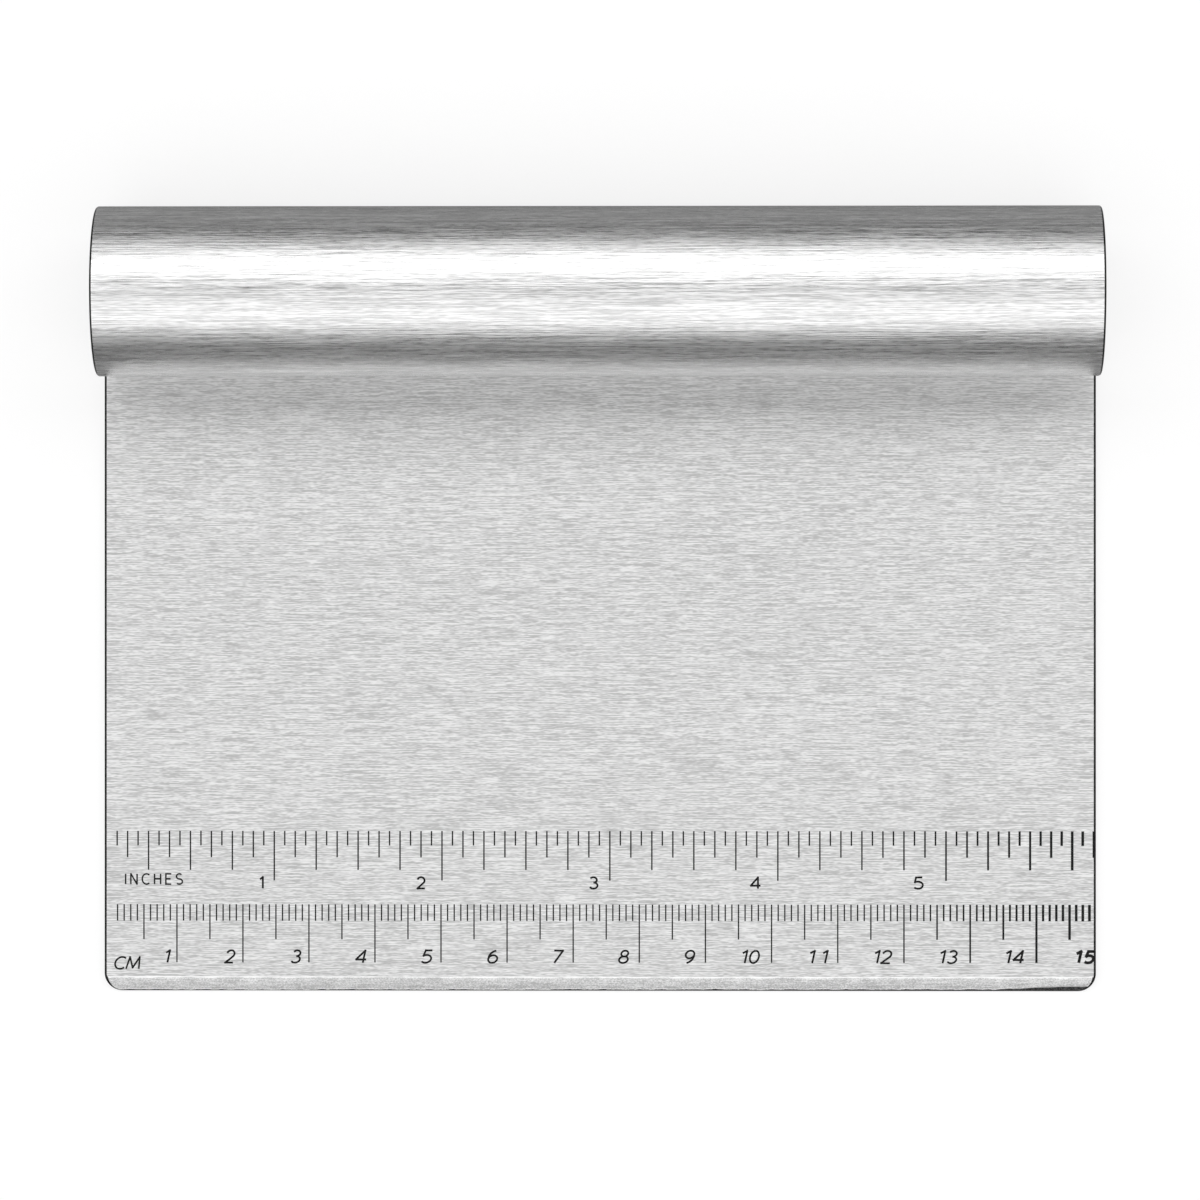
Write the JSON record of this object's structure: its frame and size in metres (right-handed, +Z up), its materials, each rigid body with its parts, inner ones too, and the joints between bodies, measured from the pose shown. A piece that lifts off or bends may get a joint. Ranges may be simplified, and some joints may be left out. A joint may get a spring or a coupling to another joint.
{
  "type": "dough scraper",
  "caption": "Stainless steel dough scraper: a flat brushed blade with engraved inch and centimetre scales, a ground edge and a closed round handle along the top.",
  "frame": {"origin": "on the table, at the middle of the scraper's outline as it lies on its back", "axes": "+X along the handle, to the right as the scales are read; +Y from the ground edge towards the handle; +Z up from the table, out of the face with the scales"},
  "size_m": [0.15, 0.118, 0.0254],
  "materials": {
    "blade_steel": "brushed along the width",
    "handle_steel": "brushed along the length",
    "disc_steel": "ground round",
    "weld_steel": "cleaned weld bead"
  },
  "bodies": {
    "root": {"blade": "blade_steel", "handle_tube": "handle_steel", "left_end_disc": "disc_steel", "right_end_disc": "disc_steel", "rear_seam_weld": "weld_steel", "front_seam_weld": "weld_steel"}
  },
  "joints": []
}
